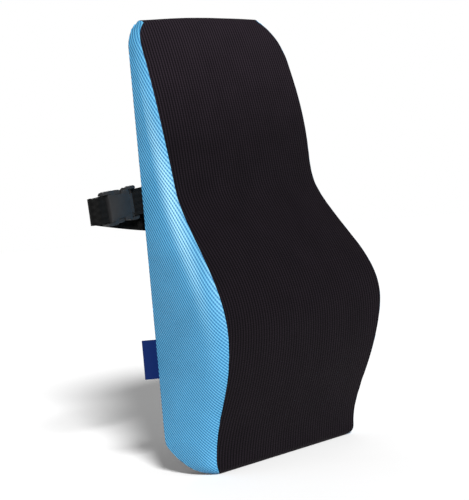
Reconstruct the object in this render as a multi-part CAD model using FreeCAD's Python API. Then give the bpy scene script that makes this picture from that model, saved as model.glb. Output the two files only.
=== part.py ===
import FreeCAD, Part
import math
import os
from FreeCAD import Vector

# Lumbar support cushion: a contoured foam core in a zipped cover, with a buckled strap behind it.
# Sizes are in millimetres. +Z is up, the front of the cushion faces -Y and its back faces +Y.
# The origin is on the floor, in the middle of the cushion's width and of its base's depth.

# Cushion body. A depth is measured forward from the flat back.
height = 560.0
base_width = 330.0
top_width = 300.0
base_depth = 76.0
lumbar_depth = 111.0
lumbar_height = 172.0
waist_depth = 52.0
waist_height = 350.0
waist_lean = 0.14
crown_depth = 14.0
crown_lean = 0.3
foot_reach = 38.0
foot_height = 45.0
foot_roundness = 0.55
toe_radius = 8.0
belly_handle = 75.0
brow_handle = 65.0
waist_handle = 50.0
neck_handle = 60.0

# Cover, inner liner and foam, from the outside in.
wall = 3.0
liner_thickness = 1.0
layer_gap = 0.25

# Zip across the lower back.
zip_height = 75.0
zip_window = 9.0
tape_width = 14.0
tape_thickness = 0.8
coil_width = 2.2
coil_thickness = 1.6
coil_parting = 1.2
zip_end_margin = 4.0
stop_length = 3.0
slider_length = 12.0
plate_thickness = 1.5
zip_clearance = 0.3
bridge_length = 8.0
bridge_width = 2.6
pull_room = 2.2
pull_length = 24.0
pull_width = 8.0
pull_thickness = 1.2

# Strap and side-release buckle.
webbing_width = 32.0
webbing_thickness = 1.5
strap_height = 339.0
strap_droop = 5.0
strap_low_height = 313.0
strap_low_x = -60.0
tab_reach = 10.0
sewn_length = 36.0
fold_radius = 2.6
fold_gap = 0.1
bend_radius = 2.5
bend_gap = 7.0
strap_overlap = 26.0
slant_length = 28.0
buckle_rail = 4.2
buckle_thickness = 11.0
buckle_wall = 2.0
buckle_waist = 6.0
plug_base_length = 14.0
plug_base_thickness = 8.0
socket_length = 43.0
mouth_length = 8.0
window_length = 14.0
cavity_end_length = 18.0
buckle_side_wall = 2.5
bar_length = 4.0
bar_thickness = 3.5
slot_length = 4.4
slot_side_clearance = 0.8
tongue_half_width = 6.0
tongue_thickness = 4.0
latch_arm_width = 4.0
latch_inset = 6.5
latch_root_radius = 2.2
latch_thickness = 6.0
latch_swing_room = 1.0
buckle_clearance = 0.4
corner_radius = 2.0

# Loop label in the seam between the left side and the back.
label_height = 145.0
label_length = 48.0
label_reach = 17.0
label_thickness = 1.2
label_turn = 25.0

# Box-and-cross stitching.
thread = 0.8
stitch_height = 0.35
stitch_margin = 5.0
sewing_gap = 0.05

back_y = base_depth / 2
strap_end_y = back_y + webbing_thickness / 2 + sewing_gap
buckle_y = strap_end_y + fold_radius
slot_half_width = webbing_width / 2 + slot_side_clearance
buckle_width = 2 * (slot_half_width + buckle_rail)
cavity_half_width = buckle_width / 2 - buckle_side_wall
latch_arm_offset = buckle_width / 2 - latch_inset


def box(x0, x1, y0, y1, z0, z1):
    """A block between two corners."""
    return Part.makeBox(x1 - x0, y1 - y0, z1 - z0, Vector(x0, y0, z0))


def half_width(z):
    """Half of the cushion's width at height z."""
    return (base_width + (top_width - base_width) * z / height) / 2


def bezier(poles):
    """An edge in the plane x = 0 through (y, z) poles."""
    curve = Part.BezierCurve()
    curve.setPoles([Vector(0, y, z) for y, z in poles])
    return curve.toShape()


def line(start, end):
    """A straight edge in the plane x = 0."""
    return Part.makeLine(Vector(0, *start), Vector(0, *end))


def arc(start, middle, end):
    """A circular edge in the plane x = 0 through three (y, z) points."""
    return Part.Arc(Vector(0, *start), Vector(0, *middle), Vector(0, *end)).toShape()


def profile(inset):
    """The cushion's side outline as a face, drawn inside its skin by inset."""
    back = back_y - inset
    diagonal = 1 - math.sqrt(0.5)
    foot = foot_reach - inset
    heel = foot_height - inset
    fullness = 1 - foot_roundness
    toe = max(toe_radius - inset, 1.0)
    front = back_y - base_depth + inset
    lumbar = back_y - lumbar_depth + inset
    waist = back_y - waist_depth + inset
    crown = back_y - crown_depth + inset
    crown_z = height - crown_depth / 2
    toe_end = (front, inset + toe)
    lumbar_end = (lumbar, lumbar_height)
    waist_end = (waist, waist_height)
    crown_end = (crown, crown_z)
    edges = [
        line((back, crown_z), (back, inset + heel)),
        bezier([(back, inset + heel),
                (back, inset + heel * fullness),
                (back - foot * fullness, inset),
                (back - foot, inset)]),
        line((back - foot, inset), (front + toe, inset)),
        arc((front + toe, inset),
            (front + toe * diagonal, inset + toe * diagonal),
            toe_end),
        bezier([toe_end,
                (front - 2.0, belly_handle),
                (lumbar, lumbar_height - belly_handle),
                lumbar_end]),
        bezier([lumbar_end,
                (lumbar, lumbar_height + brow_handle),
                (waist - waist_lean * waist_handle, waist_height - waist_handle),
                waist_end]),
        bezier([waist_end,
                (waist + waist_lean * neck_handle, waist_height + neck_handle),
                (crown - crown_lean * waist_handle, crown_z - waist_handle),
                crown_end]),
        arc(crown_end, ((crown + back) / 2, height - inset), (back, crown_z)),
    ]
    return Part.Face(Part.Wire(edges))


def between_sides(inset):
    """A tapered slab that reaches to inset inside the two side faces."""
    low, high = -20.0, height + 20.0
    reach = lumbar_depth * 2
    corners = [
        Vector(inset - half_width(low), -reach, low),
        Vector(half_width(low) - inset, -reach, low),
        Vector(half_width(high) - inset, -reach, high),
        Vector(inset - half_width(high), -reach, high),
    ]
    outline = Part.makePolygon(corners + corners[:1])
    return Part.Face(outline).extrude(Vector(0, 2 * reach, 0))


def prism(inset):
    """The side outline run out across the whole width, before its sides are trimmed."""
    span = base_width + top_width
    face = profile(inset)
    face.translate(Vector(-span / 2, 0, 0))
    return face.extrude(Vector(span, 0, 0))


def block(inset):
    """The whole cushion drawn inside its skin by inset."""
    return prism(inset).common(between_sides(inset))


def make_cover():
    """The six panels of the cover, each wall thick."""
    outer = block(0.0)
    sides = outer.cut(between_sides(wall))
    left, right = sorted(sides.Solids, key=lambda solid: solid.CenterOfMass.x)
    ring = outer.common(between_sides(wall)).cut(prism(wall))
    span = base_width
    land_front = back_y - base_depth + toe_radius
    land_back = back_y - foot_reach
    window_low = zip_height - zip_window / 2
    window_high = zip_height + zip_window / 2
    back_top = height - crown_depth / 2
    base_zone = box(-span, span, land_front, land_back, 0, wall)
    lower_zone = box(-span, span, land_back, back_y, 0, window_low)
    window_zone = box(-span, span, back_y - wall, back_y, window_low, window_high)
    upper_zone = box(-span, span, back_y - wall, back_y, window_high, back_top)
    front = ring
    for zone in (base_zone, lower_zone, window_zone, upper_zone):
        front = front.cut(zone)
    return {
        "front_panel": front,
        "left_side_panel": left,
        "right_side_panel": right,
        "back_panel": ring.common(upper_zone),
        "lower_back_panel": ring.common(lower_zone),
        "base_panel": ring.common(base_zone),
    }


def zip_groove():
    """The room that the zip's tapes and the inside of its slider take from the filling."""
    depth = wall + tape_thickness + plate_thickness + 3 * zip_clearance
    reach = tape_width + zip_clearance
    return box(-base_width, base_width, back_y - depth, back_y,
               zip_height - reach, zip_height + reach)


def make_filling():
    """The foam core and the thin liner bag round it."""
    liner_inset = wall + layer_gap
    core_inset = liner_inset + liner_thickness + layer_gap
    groove = zip_groove()
    liner_outer = block(liner_inset).cut(groove)
    grown = groove.copy()
    grown.translate(Vector(0, -liner_thickness, 0))
    pocket = box(-base_width, base_width, groove.BoundBox.YMin - liner_thickness, back_y,
                 groove.BoundBox.ZMin - liner_thickness, groove.BoundBox.ZMax + liner_thickness)
    liner_inner = block(liner_inset + liner_thickness).cut(pocket)
    core_pocket = box(-base_width, base_width, pocket.BoundBox.YMin - layer_gap, back_y,
                      pocket.BoundBox.ZMin - layer_gap, pocket.BoundBox.ZMax + layer_gap)
    return {
        "inner_liner": liner_outer.cut(liner_inner),
        "foam_core": block(core_inset).cut(core_pocket),
    }


def zip_half_length():
    """Half of the zip tape's length, just short of the side panels."""
    ends = [half_width(zip_height + side * tape_width) for side in (-1, 1)]
    return min(ends) - wall - zip_clearance


def coil_half_length():
    """Half of the length of the zip's coil, between its two stops."""
    return zip_half_length() - zip_end_margin - stop_length


def make_zip():
    """Tapes, coils and end stops of the zip."""
    tape_outer = back_y - wall
    coil_outer = tape_outer + coil_thickness
    tape_x = zip_half_length()
    coil_x = coil_half_length()
    parting = coil_parting / 2
    tape = box(-tape_x, tape_x, tape_outer - tape_thickness, tape_outer,
               zip_height + parting, zip_height + tape_width)
    coil = box(-coil_x, coil_x, tape_outer, coil_outer,
               zip_height + parting, zip_height + parting + coil_width)
    stop_half = parting + coil_width
    stops = [
        box(start, start + stop_length, tape_outer, coil_outer,
            zip_height - stop_half, zip_height + stop_half)
        for start in (-coil_x - stop_length, coil_x)
    ]
    middle = Vector(0, 0, zip_height)
    up = Vector(0, 0, 1)
    return {
        "zip_tape_upper": tape,
        "zip_tape_lower": tape.mirror(middle, up),
        "zip_coil_upper": coil,
        "zip_coil_lower": coil.mirror(middle, up),
        "zip_stops": Part.makeCompound(stops),
    }


def slider_rest_x():
    """Where the slider's middle rests, against the stop at the closed, right-hand end."""
    return coil_half_length() - slider_length / 2 - zip_clearance


def make_slider():
    """Zip slider: two plates joined by a thin divider, curled edges, and a bridge for the pull."""
    half = slider_length / 2
    reach = zip_window / 2 - zip_clearance
    inner_face = back_y - wall - tape_thickness - zip_clearance
    outer_face = back_y - wall + coil_thickness + zip_clearance
    flange_start = coil_parting / 2 + coil_width + zip_clearance
    flange_face = back_y - wall + zip_clearance
    top = outer_face + plate_thickness
    divider = coil_parting / 2 - zip_clearance
    bridge_top = top + pull_room + plate_thickness
    slider = box(-half, half, inner_face - plate_thickness, inner_face, -reach, reach)
    slider = slider.fuse(box(-half, half, outer_face, top, -reach, reach))
    slider = slider.fuse(box(-half / 2, half / 2, inner_face, outer_face, -divider, divider))
    for start, end in ((flange_start, reach), (-reach, -flange_start)):
        slider = slider.fuse(box(-half, half, flange_face, outer_face, start, end))
    bridge = box(-bridge_length / 2, bridge_length / 2, top, bridge_top,
                 -bridge_width / 2, bridge_width / 2)
    tunnel = box(-pull_room, pull_room, top, top + pull_room, -reach, reach)
    slider = slider.fuse(bridge.cut(tunnel)).removeSplitter()
    slider.translate(Vector(slider_rest_x(), 0, zip_height))
    return slider


def pull_pivot():
    """The axis that the pull swings about, under the slider's bridge."""
    top = back_y - wall + coil_thickness + zip_clearance + plate_thickness
    return Vector(slider_rest_x(), top + pull_room / 2, zip_height)


def make_pull():
    """Zip pull: a crossbar under the bridge, two arms and a rounded tab, lying towards -X."""
    pin = pull_room / 2 - zip_clearance
    half_thick = pull_thickness / 2
    arm_inner = bridge_width / 2 + zip_clearance
    arm_outer = arm_inner + pull_thickness
    eye_end = bridge_length / 2 + 2 * zip_clearance + pull_thickness
    pull = Part.makeCylinder(pin, 2 * arm_outer, Vector(0, 0, -arm_outer))
    for start, end in ((arm_inner, arm_outer), (-arm_outer, -arm_inner)):
        pull = pull.fuse(box(-eye_end, pin, -half_thick, half_thick, start, end))
    tab = box(-pull_length, -eye_end, -half_thick, half_thick, -pull_width / 2, pull_width / 2)
    corners = [edge for edge in tab.Edges
               if edge.BoundBox.YLength > half_thick and edge.BoundBox.XLength < half_thick]
    tab = tab.makeFillet(pull_width / 4, corners)
    pull = pull.fuse(tab).removeSplitter()
    pull.translate(pull_pivot())
    return pull


def rounded_path(points, radii, shift):
    """Edges of a path in the plane z = 0 with rounded corners, moved to its left by shift."""
    steps = [(end - start).normalize() for start, end in zip(points, points[1:])]
    lefts = [Vector(-step.y, step.x, 0) for step in steps]
    edges = []
    last = points[0] + lefts[0] * shift
    for corner, radius, before, after, left in zip(points[1:-1], radii, steps, steps[1:], lefts):
        turn = math.atan2(before.cross(after).z, before.dot(after))
        side = math.copysign(1.0, turn)
        centre = corner + left * side * radius - before * radius * math.tan(abs(turn) / 2)
        reach = radius - side * shift
        start = centre - left * side * reach
        end = centre - Vector(-after.y, after.x, 0) * side * reach
        middle = centre + (corner - centre).normalize() * reach
        if (start - last).Length > 1e-6:
            edges.append(Part.makeLine(last, start))
        edges.append(Part.Arc(start, middle, end).toShape())
        last = end
    finish = points[-1] + lefts[-1] * shift
    edges.append(Part.makeLine(last, finish))
    return edges, points[0] + lefts[0] * shift, finish


def ribbon(points, radii):
    """Webbing on edge, following a path of (x, y) points, with its middle at z = 0."""
    path = [Vector(x, y, 0) for x, y in points]
    left, left_start, left_end = rounded_path(path, radii, webbing_thickness / 2)
    right, right_start, right_end = rounded_path(path, radii, -webbing_thickness / 2)
    ends = [Part.makeLine(left_start, right_start), Part.makeLine(left_end, right_end)]
    outline = Part.Wire(Part.__sortEdges__(left + right + ends))
    outline.translate(Vector(0, 0, -webbing_width / 2))
    return Part.Face(outline).extrude(Vector(0, 0, webbing_width))


def box_x_stitch(length, width):
    """A sewn box with a cross in it, lying on the plane y = 0 with its middle at the origin."""
    half_x, half_z, half = length / 2, width / 2, thread / 2
    threads = [
        box(-half_x, half_x, 0, stitch_height, place - half, place + half)
        for place in (-half_z, half_z)
    ]
    threads += [
        box(place - half, place + half, 0, stitch_height, -half_z - half, half_z + half)
        for place in (-half_x, half_x)
    ]
    diagonal = math.hypot(length, width)
    for side in (-1, 1):
        cross = box(-diagonal / 2, diagonal / 2, 0, stitch_height, -half, half)
        angle = side * math.degrees(math.atan2(width, length))
        cross.rotate(Vector(0, 0, 0), Vector(0, 1, 0), angle)
        threads.append(cross)
    return threads[0].multiFuse(threads[1:]).removeSplitter()


def buckle_start_x():
    """The plug's sewn end, beyond the cushion's left edge."""
    return -half_width(strap_height) - tab_reach


def hang(shape):
    """Carry a piece from the buckle's own frame to its drooping place at the cushion's left."""
    shape.rotate(Vector(0, 0, 0), Vector(0, 1, 0), -strap_droop)
    shape.translate(Vector(buckle_start_x(), buckle_y, strap_height))
    return shape


def along(start, end, thick, width_low, width_high):
    """A block of the buckle from start to end along it, thick in y and centred there."""
    return box(-end, -start, -thick / 2, thick / 2, width_low, width_high)


def softened(shape):
    """Round the corners that run through the buckle's thickness."""
    thickness = shape.BoundBox.YLength
    corners = [edge for edge in shape.Edges
               if abs(edge.BoundBox.YLength - thickness) < 1e-6 and edge.Length < thickness + 1e-6]
    return shape.makeFillet(corner_radius, corners)


def latch_pivot(side):
    """The root of one latch arm in the buckle's frame; side is 1 for the upper arm."""
    return Vector(latch_root_radius + buckle_clearance - plug_base_length, 0,
                  side * latch_arm_offset)


def make_plug():
    """Plug: a base with a webbing slot and bar, seats for two latch arms, and a middle tongue."""
    half = buckle_width / 2
    slot_end = bar_length + slot_length
    plug = softened(along(0, plug_base_length, plug_base_thickness, -half, half))
    plug = plug.cut(along(-bar_length, slot_end, plug_base_thickness,
                          -slot_half_width, slot_half_width))
    plug = plug.fuse(along(0, bar_length, bar_thickness, -slot_half_width, slot_half_width))
    for side in (1, -1):
        pivot = latch_pivot(side)
        seat = Part.makeCylinder(latch_root_radius + buckle_clearance, plug_base_thickness,
                                 pivot - Vector(0, plug_base_thickness / 2, 0), Vector(0, 1, 0))
        reach = latch_arm_width / 2 + latch_swing_room
        mouth = along(-pivot.x, plug_base_length, plug_base_thickness,
                      pivot.z - reach, pivot.z + reach)
        plug = plug.cut(seat).cut(mouth)
    tongue_end = plug_base_length + buckle_waist + socket_length - cavity_end_length
    tongue = along(plug_base_length - 1, tongue_end - 2 * buckle_clearance, tongue_thickness,
                   -tongue_half_width, tongue_half_width)
    return hang(plug.fuse(softened(tongue)).removeSplitter())


def make_latch_arm(side):
    """One latch arm: a round root, a thin arm and a thumb pad that fills the socket's window."""
    pivot = latch_pivot(side)
    root = Part.makeCylinder(latch_root_radius, latch_thickness,
                             pivot - Vector(0, latch_thickness / 2, 0), Vector(0, 1, 0))
    window_start = plug_base_length + buckle_waist + mouth_length
    pad_start = window_start + buckle_clearance
    pad_end = window_start + window_length - 3 * buckle_clearance
    half = latch_arm_width / 2
    arm = along(-pivot.x, pad_end, latch_thickness, latch_arm_offset - half,
                latch_arm_offset + half)
    pad = along(pad_start, pad_end, latch_thickness, latch_arm_offset - half, buckle_width / 2)
    if side < 0:
        for shape in (arm, pad):
            shape.rotate(Vector(0, 0, 0), Vector(1, 0, 0), 180)
    return hang(root.fuse(arm).fuse(softened(pad)).removeSplitter())


def make_socket():
    """Socket: a hollow shell with a mouth, two side windows and a webbing slot and bar."""
    half = buckle_width / 2
    start = plug_base_length + buckle_waist
    end = start + socket_length
    slot_start = end - bar_length - slot_length
    cavity_end = end - cavity_end_length
    window_start = start + mouth_length
    socket = softened(along(start, end, buckle_thickness, -half, half))
    socket = socket.cut(along(start - 1, cavity_end, buckle_thickness - 2 * buckle_wall,
                              -cavity_half_width, cavity_half_width))
    for low, high in ((half - latch_inset, half + 1), (-half - 1, latch_inset - half)):
        socket = socket.cut(along(window_start, window_start + window_length,
                                  buckle_thickness, low, high))
    socket = socket.cut(along(slot_start, end + 1, buckle_thickness,
                              -slot_half_width, slot_half_width))
    bar = along(end - bar_length, end, bar_thickness, -slot_half_width, slot_half_width)
    return hang(socket.fuse(bar).removeSplitter())


def make_tab():
    """Short webbing sewn near the left edge, doubled round the plug's bar."""
    fold = bar_length + fold_gap + fold_radius
    sewn_end = tab_reach + sewn_length
    upper = webbing_thickness + sewing_gap - fold_radius
    points = [(sewn_end, -fold_radius), (-fold, -fold_radius), (-fold, fold_radius),
              (tab_reach / 4, fold_radius), (3 * tab_reach / 4, upper), (sewn_end, upper)]
    return hang(ribbon(points, [fold_radius, fold_radius, bend_radius, bend_radius]))


def bend_start():
    """How far along the buckle's frame the strap starts to turn back behind the cushion."""
    return plug_base_length + buckle_waist + socket_length + bend_gap


def make_strap():
    """Long webbing: round the socket's bar, back behind the cushion, sewn near the right edge."""
    bar_side = bend_start() - bend_gap - bar_length - fold_gap - fold_radius
    outer_bend = bend_radius + 2 * fold_radius
    bend = bend_start()
    inner_back = fold_radius + 2 * bend_radius
    outer_back = 2 * outer_bend - fold_radius
    points = [(strap_overlap - bend, inner_back), (-bend - bend_radius, inner_back),
              (-bend - bend_radius, fold_radius), (-bar_side, fold_radius),
              (-bar_side, -fold_radius), (-bend - outer_bend, -fold_radius),
              (-bend - outer_bend, outer_back), (bend_gap - bend, outer_back)]
    radii = [bend_radius, bend_radius, fold_radius, fold_radius, outer_bend, outer_bend]
    strap = hang(ribbon(points, radii))
    back = buckle_y + outer_back
    droop = math.radians(strap_droop)
    left_x = buckle_start_x() - bend * math.cos(droop)
    left_z = strap_height - bend * math.sin(droop)
    edge = half_width(strap_height)
    sewn_x = edge - stitch_margin - sewn_length
    right_x = sewn_x - slant_length
    half = webbing_width / 2
    middles = [(left_x, left_z), (strap_low_x, strap_low_height), (right_x, strap_height)]
    corners = [Vector(x, back - webbing_thickness / 2, z - half) for x, z in middles]
    corners += [Vector(x, back - webbing_thickness / 2, z + half) for x, z in reversed(middles)]
    outline = Part.makePolygon(corners + corners[:1])
    span = Part.Face(outline).extrude(Vector(0, webbing_thickness, 0))
    landing = ribbon([(right_x - bend_gap, back), (right_x, back), (sewn_x, strap_end_y),
                      (edge - stitch_margin, strap_end_y)], [slant_length / 4, slant_length / 4])
    landing.translate(Vector(0, 0, strap_height))
    return strap.fuse(span).fuse(landing).removeSplitter()


def make_stitching():
    """The box-and-cross stitching that holds each end of the strap to the back panel."""
    length = sewn_length - 2 * stitch_margin
    width = webbing_width - 2 * stitch_margin
    left = box_x_stitch(length, width)
    surface = 1.5 * webbing_thickness + sewing_gap - fold_radius
    left.translate(Vector(tab_reach + sewn_length / 2, surface, 0))
    right = box_x_stitch(length, width)
    right.translate(Vector(half_width(strap_height) - stitch_margin - sewn_length / 2,
                           strap_end_y + webbing_thickness / 2, strap_height))
    return {"left_stitching": hang(left), "right_stitching": right}


def make_label():
    """The folded loop label, held in the corner seam between the left side and the back."""
    label = box(-label_thickness / 2, label_thickness / 2, 0, label_reach,
                -label_length / 2, label_length / 2)
    label.rotate(Vector(0, 0, 0), Vector(0, 0, 1), label_turn)
    taper = math.degrees(math.atan2((base_width - top_width) / 2, height))
    label.rotate(Vector(0, 0, 0), Vector(0, 1, 0), taper)
    label.translate(Vector(-half_width(label_height), back_y, label_height))
    return label


def make_parts():
    """Every piece by its node name."""
    parts = {}
    parts.update(make_cover())
    parts.update(make_filling())
    parts.update(make_zip())
    parts.update(make_stitching())
    parts["zip_slider"] = make_slider()
    parts["zip_pull"] = make_pull()
    parts["buckle_plug"] = make_plug()
    parts["latch_arm_upper"] = make_latch_arm(1)
    parts["latch_arm_lower"] = make_latch_arm(-1)
    parts["buckle_socket"] = make_socket()
    parts["buckle_tab"] = make_tab()
    parts["strap_webbing"] = make_strap()
    parts["seam_label"] = make_label()
    return parts


os.makedirs("parts", exist_ok=True)
for name, shape in make_parts().items():
    shape.exportStep("parts/" + name + ".step")
pivot = pull_pivot()
print("zip pull pivot", [round(value, 3) for value in pivot])
print("zip slider travel", round(2 * slider_rest_x(), 3))
droop_turn = FreeCAD.Rotation(Vector(0, 1, 0), -strap_droop)
for side in (1, -1):
    root = droop_turn.multVec(latch_pivot(side))
    root += Vector(buckle_start_x(), buckle_y, strap_height)
    print("latch pivot", [round(value, 3) for value in root])
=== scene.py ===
import bmesh
import bpy
import math
import numpy as np
from mathutils import Matrix, Vector, geometry, noise


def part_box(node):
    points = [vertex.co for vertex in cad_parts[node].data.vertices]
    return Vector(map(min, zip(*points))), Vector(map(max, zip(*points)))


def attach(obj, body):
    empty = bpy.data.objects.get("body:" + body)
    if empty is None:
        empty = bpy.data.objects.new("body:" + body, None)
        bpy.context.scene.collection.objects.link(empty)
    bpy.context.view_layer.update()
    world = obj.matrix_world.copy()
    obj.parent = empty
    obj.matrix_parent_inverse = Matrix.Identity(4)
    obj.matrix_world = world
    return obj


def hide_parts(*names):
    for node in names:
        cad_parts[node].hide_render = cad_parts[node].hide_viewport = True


# Lumbar support cushion with a zipped mesh cover and a buckled strap behind it.
# The frame is in metres; sizes named here are in millimetres and pass through MM.
# +Z is up, the front faces -Y and the back faces +Y.

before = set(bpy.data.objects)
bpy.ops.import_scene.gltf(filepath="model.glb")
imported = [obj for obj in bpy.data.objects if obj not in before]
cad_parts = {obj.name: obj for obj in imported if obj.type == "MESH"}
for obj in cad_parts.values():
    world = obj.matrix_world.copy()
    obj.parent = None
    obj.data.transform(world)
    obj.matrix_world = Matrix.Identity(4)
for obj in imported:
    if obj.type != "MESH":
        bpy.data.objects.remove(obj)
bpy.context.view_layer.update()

MM = 0.001

# Cushion body, with depths measured forward from the flat back.
height = 560.0
base_width = 330.0
top_width = 300.0
back_y = 38.0
base_depth = 76.0
lumbar_depth = 111.0
lumbar_height = 172.0
waist_depth = 52.0
waist_height = 350.0
waist_lean = 0.14
crown_depth = 14.0
crown_lean = 0.3
crown_reach = 30.0
foot_reach = 62.0
foot_height = 44.0
foot_roundness = 0.3
toe_radius = 8.0
belly_handle = 75.0
brow_handle = 65.0
waist_handle = 50.0
neck_handle = 60.0
# How the stuffed cover departs from its flat pattern.
# Each hump of the front is its fullness, its height and its spread, all in millimetres.
lumbar_hump = (12.0, 205, 75)
toe_hump = (-10.0, 10, 55)
waist_hump = (-8.0, 350, 45)
shoulder_hump = (3.0, 460, 50)
crown_rise = 4.6
crown_start = 430.0
crown_share = 0.4
push_share = 0.72
side_bow = 0.1
bow_lead = 0.65
left_corner_radius = 34.0
right_corner_radius = 58.0
base_corner_radius = 14.0
wall = 3.0
zip_height = 75.0
zip_window = 9.0
cover_swell = {"side": 12.0, "front": 4.0, "back": 0.8, "foot": 1.5, "base": 0.0}
stuffing_pressure = 4.0
stuffing_frames = 20
smoothing_passes = 16
seam_inset = 1.8
seam_turns = (0.8, 2.2)
cloth_thickness = 1.1
buckle_half = 21.0

# Strap and side-release buckle, measured along the buckle from the plug's sewn end.
webbing_width = 32.0
webbing_thickness = 1.5
strap_height = 339.0
strap_droop = 5.0
tab_reach = 10.0
sewn_length = 36.0
fold_radius = 2.6
bend_radius = 2.5
bend = 70.0
bar_side = 56.3
swag_low_x = -60.0
swag_low_z = 313.0
landing_length = 28.0
stitch_margin = 5.0
latch_offset = 14.5
latch_root = 11.4


# ---------------------------------------------------------------- materials

def colour(code):
    """Linear RGBA of an sRGB hex value."""
    parts = [int(code[i:i + 2], 16) / 255 for i in (1, 3, 5)]
    linear = [p / 12.92 if p <= 0.04045 else ((p + 0.055) / 1.055) ** 2.4 for p in parts]
    return (*linear, 1.0)


def add(tree, kind, inputs=None, **settings):
    """Add a shader node; an input is a value, a socket, or a node whose first output feeds it."""
    made = tree.nodes.new("ShaderNode" + kind)
    for name, value in settings.items():
        setattr(made, name, value)
    for name, value in (inputs or {}).items():
        if isinstance(value, bpy.types.Node):
            value = value.outputs[0]
        if isinstance(value, bpy.types.NodeSocket):
            tree.links.new(value, made.inputs[name])
        else:
            made.inputs[name].default_value = value
    return made


def every(pitch):
    """The scale at which a wave repeats every pitch millimetres over a vector in metres."""
    return math.pi / (10 * pitch * MM)


def start_material(name, **shader):
    """A new material, its node tree and its surface shader."""
    material = bpy.data.materials.new(name)
    material.use_nodes = True
    tree = material.node_tree
    surface = tree.nodes["Principled BSDF"]
    for socket, value in shader.items():
        surface.inputs[socket.replace("_", " ")].default_value = value
    return material, tree, surface


def dress(tree, surface, pattern, dark, light, relief_depth=0.0):
    """Colour a surface by a pattern between two tones, and raise it by millimetres of relief."""
    tone = add(tree, "Mix", {0: pattern, 6: colour(dark), 7: colour(light)}, data_type="RGBA")
    tree.links.new(tone.outputs[2], surface.inputs["Base Color"])
    if relief_depth:
        relief = add(tree, "Bump", {"Height": pattern, "Distance": relief_depth * MM})
        tree.links.new(relief.outputs[0], surface.inputs["Normal"])


def make_black_knit():
    """Polyester warp-knit mesh, dyed black: fine upright ribs give it a dry, faintly striped look."""
    material, tree, surface = start_material(
        "Black_warp_knit_mesh", Roughness=0.75, Sheen_Weight=0.01, Sheen_Roughness=0.5,
        Sheen_Tint=colour("#b9a3ad"), Specular_IOR_Level=0.03)
    cloth = add(tree, "UVMap", uv_map="cloth").outputs["UV"]
    # Ribs 5.6 mm apart, crossed by stitch courses every 2.4 mm.
    ribs = add(tree, "TexWave", {"Vector": cloth, "Scale": every(5.6)}).outputs["Fac"]
    courses = add(tree, "TexWave", {"Vector": cloth, "Scale": every(2.4)}, bands_direction="Y")
    loops = add(tree, "Math", {0: courses.outputs["Fac"], 1: 0.35, 2: 0.65},
                operation="MULTIPLY_ADD")
    rounded = add(tree, "Math", {0: ribs, 1: 0.7}, operation="POWER")
    relief = add(tree, "Math", {0: rounded, 1: loops}, operation="MULTIPLY")
    # A painted highlight: the cloth is drawn a little paler toward the top, standing in for light from
    # above.
    parts = add(tree, "SeparateXYZ", {"Vector": cloth})
    painted_top_highlight = add(tree, "MapRange", {"Value": parts.outputs["Y"], "From Min": 0.42, "From Max": 0.6,
                                 "To Min": 0.6, "To Max": 1.6})
    blotches = add(tree, "TexNoise", {"Vector": cloth, "Scale": 1 / (45 * MM), "Detail": 3.0})
    tone = add(tree, "MapRange", {"Value": blotches, "From Min": 0.3, "From Max": 0.7,
                                  "To Min": 0.88, "To Max": 1.12})
    # Patchy tone, times the painted highlight at the top.
    tone_field = add(tree, "Math", {0: tone, 1: painted_top_highlight}, operation="MULTIPLY")
    lit = add(tree, "Math", {0: relief, 1: tone_field}, operation="MULTIPLY")
    dress(tree, surface, lit, "#020203", "#211b21")
    bump = add(tree, "Bump", {"Height": relief, "Distance": 0.5 * MM})
    tree.links.new(bump.outputs[0], surface.inputs["Normal"])
    return material


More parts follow.
